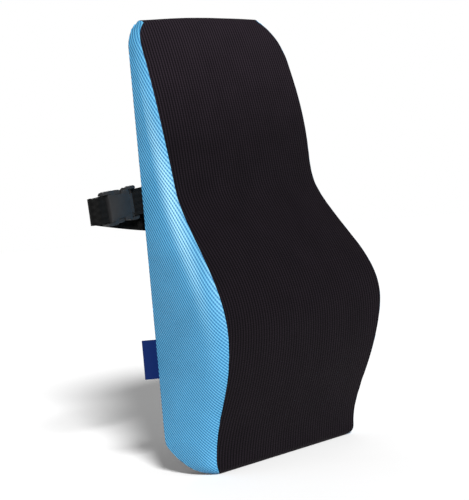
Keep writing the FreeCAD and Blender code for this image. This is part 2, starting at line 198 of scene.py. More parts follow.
def make_blue_mesh():
    """Polyester spacer mesh, sky blue: a lattice of raised diagonal threads with darker eyelets."""
    material, tree, surface = start_material(
        "Blue_spacer_mesh", Roughness=0.65, Sheen_Weight=0.05, Sheen_Roughness=0.35,
        Sheen_Tint=colour("#d8f0ff"), Specular_IOR_Level=0.2)
    cloth = add(tree, "UVMap", uv_map="cloth").outputs["UV"]
    # Threads 3.3 mm apart, as coarse as they need to be to show. They lean 49
    # degrees from level at the base and steepen to 62 degrees near the top.
    parts = add(tree, "SeparateXYZ", {"Vector": cloth})
    drawn = add(tree, "Math", {0: parts.outputs["Y"], 1: -0.3, 2: 0.75}, operation="MULTIPLY_ADD")
    climb = add(tree, "Math", {0: parts.outputs["Y"], 1: drawn}, operation="MULTIPLY")
    families = []
    for lean in (-0.85, 0.85):
        phase = add(tree, "Math", {0: parts.outputs["X"], 1: lean, 2: climb},
                    operation="MULTIPLY_ADD")
        along = add(tree, "CombineXYZ", {"X": phase})
        threads = add(tree, "TexWave", {"Vector": along, "Scale": every(3.3)})
        families.append(threads.outputs["Fac"])
    # The threads that lean forward lie on top, so they show more than the ones they cross.
    under = add(tree, "Math", {0: families[1], 1: 0.24}, operation="MULTIPLY")
    ridge = add(tree, "Math", {0: families[0], 1: 0.76, 2: under}, operation="MULTIPLY_ADD")
    specks = add(tree, "TexNoise", {"Vector": cloth, "Scale": 1 / (1.2 * MM), "Detail": 1.0})
    fibres = add(tree, "MapRange", {"Value": specks, "From Min": 0.3, "From Max": 0.7,
                                    "To Min": 0.88, "To Max": 1.12})
    relief = add(tree, "Math", {0: ridge, 1: fibres}, operation="MULTIPLY")
    base = add(tree, "Mix", {0: relief, 6: colour("#14527c"), 7: colour("#4d8fb0")},
               data_type="RGBA")
    # A painted highlight: a paler band is drawn beside the front seam at the waist, where the rolled
    # cloth turns toward the light.
    seam_highlight = add(tree, "Attribute", attribute_name="painted_seam_highlight").outputs["Fac"]
    seam_highlight_on_threads = add(tree, "Math", {0: seam_highlight, 1: relief}, operation="MULTIPLY")
    paler = add(tree, "Mix", {0: seam_highlight_on_threads, 6: base.outputs[2], 7: colour("#8ebccf")},
                data_type="RGBA")
    blotches = add(tree, "TexNoise", {"Vector": cloth, "Scale": 1 / (60 * MM), "Detail": 3.0})
    tone = add(tree, "MapRange", {"Value": blotches, "From Min": 0.3, "From Max": 0.7,
                                  "To Min": 0.93, "To Max": 1.07})
    even = add(tree, "CombineColor", {0: tone, 1: tone, 2: tone})
    toned = add(tree, "Mix", {0: 1.0, 6: paler.outputs[2], 7: even}, data_type="RGBA",
                blend_type="MULTIPLY")
    tree.links.new(toned.outputs[2], surface.inputs["Base Color"])
    bump = add(tree, "Bump", {"Height": relief, "Distance": 0.6 * MM})
    tree.links.new(bump.outputs[0], surface.inputs["Normal"])
    return material


def slant(tree, cloth, turn_every):
    """A vector that runs along a chevron weave whose yarns turn back every few millimetres."""
    parts = add(tree, "SeparateXYZ", {"Vector": cloth})
    folded = add(tree, "Math", {0: parts.outputs["X"], 1: turn_every * MM}, operation="PINGPONG")
    skew = add(tree, "Math", {0: parts.outputs["Y"], 1: folded}, operation="ADD")
    return add(tree, "CombineXYZ", {"X": skew})


def make_webbing():
    """Woven polypropylene webbing: close chevrons of flat yarn with a slight shine on the crowns."""
    material, tree, surface = start_material(
        "Black_polypropylene_webbing", Roughness=0.6, Sheen_Weight=0.02, Sheen_Roughness=0.4,
        Specular_IOR_Level=0.06)
    cloth = add(tree, "UVMap", uv_map="cloth").outputs["UV"]
    # Yarns 1.6 mm apart along the strap, crossed every 1.3 mm by the weft.
    warp = add(tree, "TexWave", {"Vector": cloth, "Scale": every(1.6)}).outputs["Fac"]
    weft = add(tree, "TexWave", {"Vector": slant(tree, cloth, 4), "Scale": every(1.3)})
    lifted = add(tree, "Math", {0: warp, 1: 0.5, 2: 0.5}, operation="MULTIPLY_ADD")
    weave = add(tree, "Math", {0: lifted, 1: weft.outputs["Fac"]}, operation="MULTIPLY")
    dress(tree, surface, weave, "#020202", "#0c0c0c", 0.25)
    return material


def make_ribbon():
    """Woven satin label ribbon, navy: smooth floats across it give a soft lengthwise shine."""
    material, tree, surface = start_material(
        "Navy_satin_ribbon", Roughness=0.5, Specular_IOR_Level=0.05)
    cloth = add(tree, "UVMap", uv_map="cloth").outputs["UV"]
    # Floats drawn 0.6 mm apart, as coarse as they need to be to show.
    floats = add(tree, "TexWave", {"Vector": cloth, "Scale": every(0.6)}, bands_direction="Y")
    picks = add(tree, "TexWave", {"Vector": cloth, "Scale": every(0.9)})
    shine = add(tree, "Math", {0: floats.outputs["Fac"], 1: 0.7}, operation="MULTIPLY")
    weave = add(tree, "Math", {0: picks.outputs["Fac"], 1: 0.3, 2: shine},
                operation="MULTIPLY_ADD")
    dress(tree, surface, weave, "#020d2c", "#021a4c", 0.08)
    return material


def make_acetal():
    """Injection-moulded acetal, dark grey: a fine spark-eroded grain breaks its highlights."""
    material, tree, surface = start_material(
        "Moulded_grey_acetal", IOR=1.48, Specular_IOR_Level=0.35)
    place = add(tree, "TexCoord").outputs["Object"]
    # Grain 0.5 mm across, drawn coarser than the real 0.1 mm so it shows.
    grain = add(tree, "TexNoise", {"Vector": place, "Scale": 1 / (0.5 * MM), "Detail": 2.0})
    scuffs = add(tree, "TexNoise", {"Vector": place, "Scale": 1 / (7 * MM), "Detail": 3.0})
    tone_field = add(tree, "MapRange", {"Value": scuffs, "From Min": 0.3, "From Max": 0.7})
    dress(tree, surface, tone_field, "#161617", "#1b1b1c")
    rough = add(tree, "MapRange", {"Value": grain, "To Min": 0.4, "To Max": 0.62})
    tree.links.new(rough.outputs[0], surface.inputs["Roughness"])
    bump = add(tree, "Bump", {"Height": grain, "Distance": 0.06 * MM})
    tree.links.new(bump.outputs[0], surface.inputs["Normal"])
    return material


def make_zip_tape():
    """Woven polyester zip tape: a close herringbone that reads as matte black."""
    material, tree, surface = start_material("Black_zip_tape_twill", Roughness=0.7,
                                             Sheen_Weight=0.12)
    cloth = add(tree, "UVMap", uv_map="cloth").outputs["UV"]
    # Herringbone turns every 3 mm, with ribs 1 mm apart.
    weave = add(tree, "TexWave", {"Vector": slant(tree, cloth, 3), "Scale": every(1.0)})
    dress(tree, surface, weave.outputs["Fac"], "#0d0d0f", "#222226", 0.15)
    return material


def make_nylon():
    """Nylon monofilament, dyed black: smooth and slightly waxy, so each turn catches a line of light."""
    material, tree, surface = start_material("Black_nylon_coil", IOR=1.53)
    place = add(tree, "TexCoord").outputs["Object"]
    waxy = add(tree, "TexNoise", {"Vector": place, "Scale": 1 / (3 * MM), "Detail": 3.0})
    rough = add(tree, "MapRange", {"Value": waxy, "From Min": 0.3, "From Max": 0.7,
                                   "To Min": 0.28, "To Max": 0.42})
    tree.links.new(rough.outputs[0], surface.inputs["Roughness"])
    dye = add(tree, "TexNoise", {"Vector": place, "Scale": 1 / (9 * MM), "Detail": 3.0})
    shade = add(tree, "MapRange", {"Value": dye, "From Min": 0.3, "From Max": 0.7})
    dress(tree, surface, shade, "#141416", "#1e1e21")
    return material


def make_enamel():
    """Die-cast zinc with black enamel: glossy, with bare metal grey showing where it rubs."""
    material, tree, surface = start_material("Black_enamelled_zinc", Coat_Weight=0.3,
                                             Coat_Roughness=0.15)
    place = add(tree, "TexCoord").outputs["Object"]
    bevelled = add(tree, "NewGeometry").outputs["Pointiness"]
    rubbed = add(tree, "MapRange", {"Value": bevelled, "From Min": 0.54, "From Max": 0.62,
                                    "To Max": 0.6})
    dress(tree, surface, rubbed, "#161618", "#77787b")
    haze = add(tree, "TexNoise", {"Vector": place, "Scale": 1 / (4 * MM), "Detail": 3.0})
    rough = add(tree, "MapRange", {"Value": haze, "From Min": 0.3, "From Max": 0.7,
                                   "To Min": 0.26, "To Max": 0.4})
    tree.links.new(rough.outputs[0], surface.inputs["Roughness"])
    return material


def make_thread():
    """Bonded polyester sewing thread, black: a twisted cord with a soft highlight."""
    material, tree, surface = start_material("Black_sewing_thread", Roughness=0.5,
                                             Sheen_Weight=0.1)
    place = add(tree, "TexCoord").outputs["Object"]
    turned = add(tree, "Mapping", {"Vector": place, "Rotation": (0, math.radians(35), 0)})
    # Twist drawn every 0.7 mm.
    twist = add(tree, "TexWave", {"Vector": turned, "Scale": every(0.7)})
    dress(tree, surface, twist.outputs["Fac"], "#17171a", "#34343a", 0.1)
    return material


def make_liner_cloth():
    """Thin white polyester tricot: a smooth, matte bag cloth with fine ribs."""
    material, tree, surface = start_material("White_tricot_lining", Roughness=0.8,
                                             Sheen_Weight=0.15)
    place = add(tree, "TexCoord").outputs["Object"]
    # Ribs drawn 1.5 mm apart.
    ribs = add(tree, "TexWave", {"Vector": place, "Scale": every(1.5)})
    dress(tree, surface, ribs.outputs["Fac"], "#d5d4cf", "#efeeea", 0.1)
    return material


def make_foam():
    """Viscoelastic polyurethane foam, cream: open cells prick the surface with tiny pits."""
    material, tree, surface = start_material(
        "Cream_memory_foam", Roughness=0.9, Subsurface_Weight=0.15, Subsurface_Scale=0.002)
    place = add(tree, "TexCoord").outputs["Object"]
    # Cells 1.5 mm across, drawn at three times their real size so they show.
    cells = add(tree, "TexVoronoi", {"Vector": place, "Scale": 1 / (1.5 * MM)})
    dress(tree, surface, cells.outputs["Distance"], "#d8c894", "#f2e7c2", 0.3)
    return material


def make_floor():
    """Matte seamless paper, pale grey, that the lights bring up to white."""
    material, tree, surface = start_material(
        "Pale_seamless_paper", Roughness=0.95, Specular_IOR_Level=0.0)
    place = add(tree, "TexCoord").outputs["Object"]
    pulp = add(tree, "TexNoise", {"Vector": place, "Scale": 1 / (300 * MM), "Detail": 3.0})
    shade = add(tree, "MapRange", {"Value": pulp, "From Min": 0.3, "From Max": 0.7})
    dress(tree, surface, shade, "#f3f3f3", "#f5f5f5")
    return material


black_knit = make_black_knit()
blue_mesh = make_blue_mesh()
webbing = make_webbing()
ribbon_cloth = make_ribbon()
acetal = make_acetal()
zip_tape_cloth = make_zip_tape()
nylon = make_nylon()
enamel = make_enamel()
sewing_thread = make_thread()
liner_cloth = make_liner_cloth()
foam = make_foam()
paper = make_floor()


# ---------------------------------------------------------------- mesh helpers

def to_object(name, source):
    """A linked object from a bmesh or a mesh."""
    if isinstance(source, bmesh.types.BMesh):
        mesh = bpy.data.meshes.new(name)
        source.to_mesh(mesh)
        source.free()
    else:
        mesh = source
        mesh.name = name
    made = bpy.data.objects.new(name, mesh)
    bpy.context.scene.collection.objects.link(made)
    return made


def settle(made):
    """Apply every modifier of an object to its mesh."""
    bpy.context.view_layer.update()
    graph = bpy.context.evaluated_depsgraph_get()
    old = made.data
    fresh = bpy.data.meshes.new_from_object(made.evaluated_get(graph))
    made.modifiers.clear()
    made.data = fresh
    fresh.name = made.name
    bpy.data.meshes.remove(old)
    return made


def finish_piece(made, material, body, nodes, sharp=35.0):
    """Give a piece its material, its shading and its body, and hide the nodes it stands for."""
    made.data.materials.clear()
    made.data.materials.append(material)
    made.data.polygons.foreach_set("use_smooth", [True] * len(made.data.polygons))
    made.data.set_sharp_from_angle(angle=math.radians(sharp))
    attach(made, body)
    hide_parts(*nodes)


def boolean(made, tools, operation):
    """Join tools to a piece, or cut them out of it, and remove them."""
    for tool in tools:
        change = made.modifiers.new("shape", "BOOLEAN")
        change.operation = operation
        change.solver = "EXACT"
        change.object = tool
        settle(made)
        bpy.data.objects.remove(tool)


def soften(made, width, segments=2, angle=35.0):
    """Round every crisp edge of a piece."""
    change = made.modifiers.new("edges", "BEVEL")
    change.width = width * MM
    change.segments = segments
    change.limit_method = "ANGLE"
    change.angle_limit = math.radians(angle)
    change.use_clamp_overlap = False
    change.miter_outer = "MITER_ARC"
    return settle(made)


def slab(outline, thickness, corner=0.0, cross_bow=0.0):
    """A plate from an outline of (along, across) points, centred on y = 0; it runs toward -X."""
    bm = bmesh.new()
    corners = [bm.verts.new((-u * MM, -thickness / 2 * MM, w * MM)) for u, w in outline]
    bm.faces.new(corners)
    if corner:
        bmesh.ops.bevel(bm, geom=corners, offset=corner * MM, offset_type="OFFSET",
                        segments=4, profile=0.5, affect="VERTICES", material=-1,
                        clamp_overlap=True)
    raised = bmesh.ops.extrude_face_region(bm, geom=bm.faces[:])["geom"]
    bmesh.ops.translate(bm, verts=[v for v in raised if isinstance(v, bmesh.types.BMVert)],
                        vec=(0, thickness * MM, 0))
    if cross_bow:
        for place in (-17, -12, -6, 6, 12, 17):
            bmesh.ops.bisect_plane(bm, geom=bm.verts[:] + bm.edges[:] + bm.faces[:],
                                   plane_co=(0, 0, place * MM), plane_no=(0, 0, 1))
        for vert in bm.verts:
            vert.co.y *= 1 - cross_bow * (vert.co.z / MM / buckle_half) ** 2
    bmesh.ops.recalc_face_normals(bm, faces=bm.faces[:])
    return bm


def rectangle(start, end, low, high):
    """Corners of a rectangle in (along, across)."""
    return [(start, low), (end, low), (end, high), (start, high)]


def rod(centre, radius, length, direction):
    """A round bar with its middle at centre, along direction."""
    bm = bmesh.new()
    turn = Vector((0, 0, 1)).rotation_difference(Vector(direction)).to_matrix().to_4x4()
    bmesh.ops.create_cone(bm, cap_ends=True, segments=24, radius1=radius * MM,
                          radius2=radius * MM, depth=length * MM,
                          matrix=Matrix.Translation(Vector(centre) * MM) @ turn)
    return bm


def rounded_path(points, radii, arc_steps=8, run=4.0):
    """Points along a flat path of straight runs with its corners rounded to the given radii."""
    corners = [Vector(p) for p in points]
    marks = [corners[0]]
    for before, corner, after, radius in zip(corners, corners[1:], corners[2:], radii):
        inward = (before - corner).normalized()
        outward = (after - corner).normalized()
        half = inward.angle(outward) / 2
        reach = radius / math.tan(half)
        centre = corner + (inward + outward).normalized() * radius / math.sin(half)
        start = corner + inward * reach - centre
        end = corner + outward * reach - centre
        sweep = start.angle(end)
        for step in range(arc_steps + 1):
            part = step / arc_steps
            mixed = start * math.sin((1 - part) * sweep) + end * math.sin(part * sweep)
            marks.append(centre + mixed / math.sin(sweep))
    marks.append(corners[-1])
    path = [marks[0]]
    for mark in marks[1:]:
        length = (mark - path[-1]).length
        if length < 1e-4:
            continue
        last = path[-1]
        pieces = max(1, math.ceil(length / run))
        path += [last.lerp(mark, (i + 1) / pieces) for i in range(pieces)]
    return path


def strip(name, middles, acrosses, width, thickness, columns=8, edge=0.3):
    """A flat woven strip along 3-D middles in metres, with a UV map in metres for its weave."""
    bm = bmesh.new()
    bmesh.ops.create_grid(bm, x_segments=columns, y_segments=len(middles) - 1, size=0.5)
    lengths = [0.0]
    for a, b in zip(middles, middles[1:]):
        lengths.append(lengths[-1] + (b - a).length)
    uv = bm.loops.layers.uv.new("cloth")
    place = {}
    for vert in bm.verts:
        column = round((vert.co.x + 0.5) * columns)
        row = round((vert.co.y + 0.5) * (len(middles) - 1))
        side = column / columns - 0.5
        place[vert] = (side * width * MM, lengths[row])
        vert.co = middles[row] + acrosses[row] * side * width * MM
    for face in bm.faces:
        for loop in face.loops:
            loop[uv].uv = place[loop.vert]
    bmesh.ops.recalc_face_normals(bm, faces=bm.faces[:])
    made = to_object(name, bm)
    shell = made.modifiers.new("thickness", "SOLIDIFY")
    shell.thickness = thickness * MM
    shell.offset = 0.0
    shell.use_even_offset = True
    settle(made)
    return soften(made, edge, 2, 60.0)


# ---------------------------------------------------------------- cushion

def half_width(z):
    """Half of the cushion's width at height z, in millimetres."""
    return (base_width + (top_width - base_width) * z / height) / 2


def fullness_at(z):
    """How much, in millimetres, the stuffed front stands wider than its pattern at height z."""
    total = 0.0
    for full, centre, spread in (lumbar_hump, toe_hump, waist_hump, shoulder_hump):
        total += full * math.exp(-((z - centre) / spread) ** 2)
    return total


def corner_tuck(z, is_left):
    """How much, in millimetres, the rounded corners take off the half width at height z."""
    tuck = 0.0
    top_radius = left_corner_radius if is_left else right_corner_radius
    for radius, into in ((top_radius, z - (height - top_radius)),
                         (base_corner_radius, base_corner_radius - z)):
        if into > 0:
            tuck += radius - math.sqrt(max(radius * radius - into * into, 0.0))
    return tuck


def stuffed_place(x, y, z, row_z):
    """Carry a point of the flat pattern to where the stuffed and rounded cushion has it."""
    full = fullness_at(row_z)
    depth = back_y - y
    ahead = min(max(depth / base_depth, 0.0), 1.2)
    half = half_width(row_z)
    fitted = half + full * ahead - corner_tuck(row_z, x < 0)
    return Vector((x * fitted / half, y - push_share * full * ahead, z))


def curve(*poles, steps=40):
    """Points of a cubic curve in (y, z)."""
    first, handle, other, last = (Vector((*p, 0)) for p in poles)
    return [(p.x, p.y) for p in geometry.interpolate_bezier(first, handle, other, last, steps)]


def round_arc(centre, radius, start, end, steps=16):
    """Points of an arc in (y, z), between two angles in degrees."""
    turns = [math.radians(start + (end - start) * i / steps) for i in range(steps + 1)]
    return [(centre[0] + radius * math.cos(t), centre[1] + radius * math.sin(t)) for t in turns]


def side_curves(inset):
    """The front and back halves of the side outline as (y, z) arrays, drawn inside by inset."""
    back = back_y - inset
    foot = foot_reach - inset
    heel = foot_height - inset
    fullness = 1 - foot_roundness
    toe = max(toe_radius - inset, 1.0)
    front = back_y - base_depth + inset
    lumbar = back_y - lumbar_depth + inset
    waist = back_y - waist_depth + inset
    crown = back_y - crown_depth + inset
    crown_z = height - crown_depth / 2
    crown_radius = (back - crown) / 2
    crown_middle = ((back + crown) / 2, crown_z)
    ahead = round_arc((front + toe, inset + toe), toe, 270, 180)
    ahead += curve((front, inset + toe), (front - 2, belly_handle),
                   (lumbar, lumbar_height - belly_handle), (lumbar, lumbar_height))
    ahead += curve((lumbar, lumbar_height), (lumbar, lumbar_height + brow_handle),
                   (waist - waist_lean * waist_handle, waist_height - waist_handle),
                   (waist, waist_height))
    ahead += curve((waist, waist_height),
                   (waist + waist_lean * neck_handle, waist_height + neck_handle),
                   (crown - crown_lean * waist_handle, crown_z - waist_handle),
                   (crown, crown_z))
    over = round_arc(crown_middle, crown_radius, 180, 0, 48)
    behind = curve((back - foot, inset), (back - foot * fullness, inset),
                   (back, inset + heel * fullness), (back, inset + heel))
    behind.append((back, crown_z))
    return ahead, over, behind


def cushion_form(inset, columns, rows, spans):
    """The closed, all-quad shape of the cushion, drawn inside its skin by inset."""
    ahead, over, behind = side_curves(inset)
    rise = math.radians(crown_reach)
    crown_centre = Vector(over[len(over) // 2])
    crown_centre.y -= (over[-1][0] - over[0][0]) / 2
    crown_radius = (over[-1][0] - over[0][0]) / 2
    shoulder = crown_centre.y + crown_radius * math.sin(rise)
    rows = [inset] + [z for z in rows if inset + 0.8 < z < shoulder - 1] + [shoulder]
    cap = len(over) * crown_reach / 180
    ahead = np.array(ahead + over[:math.ceil(cap) + 1])
    behind = np.array(behind + over[::-1][:math.ceil(cap) + 1])
    front_y = np.interp(rows, ahead[:, 1], ahead[:, 0])
    rear_y = np.interp(rows, behind[:, 1], behind[:, 0])
    bm = bmesh.new()
    bmesh.ops.create_grid(bm, x_segments=columns, y_segments=len(rows) - 1, size=0.5)
    nominal = bm.verts.layers.float.new("row")
    side = bm.faces.layers.int.new("side")
    for vert in bm.verts:
        across = vert.co.x + 0.5
        row = round((vert.co.y + 0.5) * (len(rows) - 1))
        z = rows[row]
        y = front_y[row] + (rear_y[row] - front_y[row]) * across
        if row == len(rows) - 1:
            turn = math.pi - rise - (math.pi - 2 * rise) * across
            y = crown_centre.x + crown_radius * math.cos(turn)
            z = crown_centre.y + crown_radius * math.sin(turn)
        bow = side_bow * (rear_y[row] - front_y[row]) * math.sin(math.pi * across ** bow_lead)
        vert.co = Vector((inset - half_width(rows[row]) - bow, y, z))
        vert[nominal] = rows[row]
    for face in bm.faces:
        face[side] = 1
    twin = bmesh.ops.duplicate(bm, geom=bm.verts[:] + bm.edges[:] + bm.faces[:])["geom"]
    for face in twin:
        if isinstance(face, bmesh.types.BMFace):
            face[side] = 2
    twin_verts = [item for item in twin if isinstance(item, bmesh.types.BMVert)]
    bmesh.ops.scale(bm, vec=(-1, 1, 1), verts=twin_verts)
    for vert in bm.verts:
        vert.co = stuffed_place(*vert.co, vert[nominal]) * MM
    rims = [edge for edge in bm.edges if edge.is_boundary]
    band = bmesh.ops.bridge_loops(bm, edges=rims)
    for face in band["faces"]:
        face[side] = 0
    rungs = band["edges"]
    bmesh.ops.subdivide_edges(bm, edges=rungs, cuts=spans - 1, use_grid_fill=True)
    bmesh.ops.recalc_face_normals(bm, faces=bm.faces[:])
    return bm


cushion_rows = [0.8, 2.4, 5.0, 8.0, 12.0, 17.0, 22.6, 28.4, 34.2, 40.0, 45.6, 51.0, 56.0, 61.0,
                66.0, 70.5, 75.0, 79.5]
cushion_rows += [84.5 + 5.52 * step for step in range(84)]
cushion_rows += [547.0, 550.2, 553.0, 554.8]

panel_names = ["front_panel", "left_side_panel", "right_side_panel", "back_panel",
               "lower_back_panel", "base_panel", "zip_window"]


def panel_number(face, side):
    """Which panel of the cover a face of the form belongs to."""
    if side:
        return side
    middle = face.calc_center_median() / MM
    normal = face.normal
    if normal.z < -0.6 and -30 < middle.y < 0 and middle.z < foot_height / 2:
        return 5
    if normal.y < 0 or middle.z > 553:
        return 0
    if middle.z > zip_height + zip_window / 2:
        return 3
    if middle.z > zip_height - zip_window / 2:
        return 6
    return 4


def swell_limit(normal, z):
    """How far, in millimetres, the filling may push a point of the cover outward."""
    if abs(normal.x) > 0.6:
        return cover_swell["side"]
    if normal.z < -0.9:
        return cover_swell["base"]
    if normal.y > 0.3:
        return cover_swell["back" if z > foot_height else "foot"]
    return cover_swell["front"]


def raise_crown(bm):
    """Let the filling lift the middle of the top edge, and draw its corners down a little."""
    for vert in bm.verts:
        x, _, z = vert.co / MM
        middle = 1 - crown_share - min(abs(x) / half_width(z), 1.0) ** 2
        climb = min(max(z - crown_start, 0.0) / (height - crown_start), 1.0) ** 2
        vert.co.z += crown_rise * middle * climb * MM


def stuffed_form():
    """The cover's form, filled out by a cloth simulation between its seams."""
    bm = cushion_form(0.0, 14, cushion_rows, 56)
    bm.normal_update()
    number = bm.faces.layers.int.new("panel")
    side = bm.faces.layers.int["side"]
    for face in bm.faces:
        face[number] = panel_number(face, face[side])
    raise_crown(bm)
    bm.verts.index_update()
    held = {v.index for v in bm.verts if len({f[number] for f in v.link_faces}) > 1}
    limits = [swell_limit(v.normal, v.co.z / MM) for v in bm.verts]
    rest = np.array([v.co[:] for v in bm.verts])
    made = to_object("stuffed_form", bm)
    group = made.vertex_groups.new(name="seams")
    group.add(sorted(held), 1.0, "REPLACE")
    cloth = made.modifiers.new("stuffing", "CLOTH")
    cloth.settings.use_pressure = True
    cloth.settings.uniform_pressure_force = stuffing_pressure
    cloth.settings.effector_weights.gravity = 0.0
    cloth.settings.vertex_group_mass = "seams"
    cloth.settings.quality = 5
    cloth.settings.mass = 0.3
    for step in range(1, stuffing_frames + 1):
        bpy.context.scene.frame_set(step)
    settle(made)
    bpy.context.scene.frame_set(1)
    moved = np.array([v.co[:] for v in made.data.vertices]) - rest
    sizes = np.linalg.norm(moved, axis=1)
    capped = np.array(limits) * MM
    share = capped * np.tanh(sizes / np.maximum(capped, 1e-9)) / np.maximum(sizes, 1e-12)
    moved *= share[:, None]
    pairs = np.array([edge.vertices[:] for edge in made.data.edges])
    ends = np.concatenate([pairs, pairs[:, ::-1]])
    count = np.bincount(ends[:, 0], minlength=len(rest))[:, None]
    pinned = sorted(held)
    for _ in range(smoothing_passes):
        near = np.zeros_like(moved)
        np.add.at(near, ends[:, 0], moved[ends[:, 1]])
        moved = 0.4 * moved + 0.6 * near / count
        moved[pinned] = 0.0
    made.data.vertices.foreach_set("co", (rest + moved).ravel())
    bm = bmesh.new()
    bm.from_mesh(made.data)
    bpy.data.objects.remove(made)
    return bm


def outline_samples():
    """Points round the whole side outline in metres, with the length run so far."""
    ahead, over, behind = side_curves(0.0)
    loop = np.array(ahead + over + behind[::-1] + ahead[:1]) * MM
    steps = np.linalg.norm(np.diff(loop, axis=0), axis=1)
    run = np.concatenate([[0], np.cumsum(steps)])
    even = np.linspace(0, run[-1], 1500)
    return np.stack([np.interp(even, run, loop[:, i]) for i in (0, 1)], axis=1), even


def girth_of(points):
    """How far round the side outline each (y, z) point is, and its distance from the outline."""
    samples, even = outline_samples()
    girths, gaps = [], []
    for part in np.array_split(points, max(1, len(points) // 2000)):
        far = np.linalg.norm(part[:, None, :] - samples[None], axis=2)
        best = far.argmin(axis=1)
        girths.append(even[best])
        gaps.append(far.min(axis=1))
    return np.concatenate(girths), np.concatenate(gaps)


def make_panel(form, index, material):
    """One sewn panel: its edges turn in along the seams, and its cloth has a UV map in metres."""
    bm = form.copy()
    number = bm.faces.layers.int["panel"]
    bm.normal_update()
    inward = bm.verts.layers.float_vector.new("inward")
    for vert in bm.verts:
        vert[inward] = vert.normal
    others = [face for face in bm.faces if face[number] != index]
    bmesh.ops.delete(bm, geom=others, context="FACES")
    bmesh.ops.inset_region(bm, faces=bm.faces[:], thickness=seam_inset * MM, depth=0.0,
                           use_boundary=True, use_even_offset=True)
    rim = [edge for edge in bm.edges if edge.is_boundary]
    for depth in seam_turns:
        turned = bmesh.ops.extrude_edge_only(bm, edges=rim)["geom"]
        verts = [item for item in turned if isinstance(item, bmesh.types.BMVert)]
        rim = [item for item in turned if isinstance(item, bmesh.types.BMEdge)]
        rim = [edge for edge in rim if edge.is_boundary]
        for vert in verts:
            vert.co -= vert[inward] * depth * MM
    name = panel_names[index]
    made = to_object("sewn_" + name, bm)
    smooth = made.modifiers.new("smooth", "SUBSURF")
    smooth.levels = 1
    smooth.render_levels = 1
    settle(made)
    lay_cloth(made, index in (1, 2))
    shell = made.modifiers.new("thickness", "SOLIDIFY")
    shell.thickness = cloth_thickness * MM
    shell.offset = -1.0
    settle(made)
    if index == 5:
        for vert in made.data.vertices:
            vert.co.z = max(vert.co.z, 0.0)
    finish_piece(made, material, "cushion", [name], sharp=70.0)


def lay_cloth(made, is_side):
    """Write the cloth's UV map in metres, and let seams and filling ruffle the surface a little."""
    mesh = made.data
    co = np.array([v.co[:] for v in mesh.vertices])
    normals = np.array([v.normal[:] for v in mesh.vertices])
    girth, gap = girth_of(co[:, 1:])
    if is_side:
        flat = co[:, 1:].copy()
        edge = gap
    else:
        half = np.array([half_width(z) for z in co[:, 2] / MM]) * MM
        flat = np.stack([co[:, 0] * base_width / 2 * MM / half, girth], axis=1)
        edge = np.maximum(half - np.abs(co[:, 0]), 0)
    if is_side:
        # The share of the painted highlight, a paler band beside the front seam at the waist, from 0 to
        # 1.
        beside = np.exp(-((edge - 12 * MM) / (8.5 * MM)) ** 2)
        along = np.exp(-((girth - 0.35) / 0.115) ** 2)
        painted_seam_highlight = mesh.attributes.new("painted_seam_highlight", "FLOAT", "POINT")
        painted_seam_highlight.data.foreach_set("value", beside * along * (girth < 0.58))
    uv = mesh.uv_layers.new(name="cloth")
    corners = np.empty(len(mesh.loops), int)
    mesh.loops.foreach_get("vertex_index", corners)
    uv.data.foreach_set("uv", flat[corners].ravel())
    for i, vert in enumerate(mesh.vertices):
        if vert.co.z < 4 * MM or normals[i][1] > 0.8:
            continue
        pucker = math.exp(-edge[i] / (9 * MM)) * (1 - math.exp(-edge[i] / (1.5 * MM)))
        ruffle = noise.noise(Vector((girth[i] / (14 * MM), 3.0, 0)))
        soft = noise.noise(vert.co / (70 * MM))
        vert.co += Vector(normals[i]) * MM * (0.9 * pucker * ruffle + 0.7 * soft * min(
            1, edge[i] / (30 * MM)))


def inner_shape(name, inset, material, node):
    """A closed inner layer of the filling, drawn inside the cover by inset."""
    rows = [8 + 11.6 * step for step in range(47)]
    bm = cushion_form(inset, 6, rows, 20)
    made = to_object(name, bm)
    smooth = made.modifiers.new("smooth", "SUBSURF")
    smooth.levels = 1
    smooth.render_levels = 1
    settle(made)
    finish_piece(made, material, "cushion", [node], sharp=70.0)


form = stuffed_form()
panel_finish = [(black_knit, "black_mesh"), (blue_mesh, "blue_mesh"), (blue_mesh, "blue_mesh"),
                (black_knit, "black_mesh"), (black_knit, "black_mesh"),
                (black_knit, "black_mesh")]
for index, (material, slot) in enumerate(panel_finish):
    make_panel(form, index, material)
form.free()
inner_shape("lining_bag", 5.6, liner_cloth, "inner_liner")
inner_shape("memory_foam_block", 6.6, foam, "foam_core")


# ---------------------------------------------------------------- strap and buckle

strap_end_y = back_y + webbing_thickness / 2 + 0.05
buckle_y = strap_end_y + fold_radius
buckle_start_x = -half_width(strap_height) - tab_reach
hang = Matrix.Translation(Vector((buckle_start_x, buckle_y, strap_height)) * MM)
hang @= Matrix.Rotation(math.radians(-strap_droop), 4, "Y")


def hung_path(points, radii):
    """A path drawn in the buckle's own frame, carried to its drooping place."""
    path = rounded_path(points, radii)
    return [hang @ (Vector((p.x, p.y, 0)) * MM) for p in path]


def make_tab():
    """The short webbing tab, doubled round the plug's bar and sewn to the back."""
    fold = 4.0 + 0.1 + fold_radius
    sewn_end = tab_reach + sewn_length
    upper = webbing_thickness + 0.05 - fold_radius
    points = [(sewn_end, -fold_radius), (-fold, -fold_radius), (-fold, fold_radius),
              (tab_reach / 4, fold_radius), (3 * tab_reach / 4, upper), (sewn_end, upper)]
    middles = hung_path(points, [2.59, 2.59, bend_radius, bend_radius])
    across = hang.to_3x3() @ Vector((0, 0, 1))
    made = strip("doubled_buckle_tab", middles, [across] * len(middles), webbing_width,
                 webbing_thickness)
    finish_piece(made, webbing, "cushion", ["buckle_tab"], sharp=50.0)


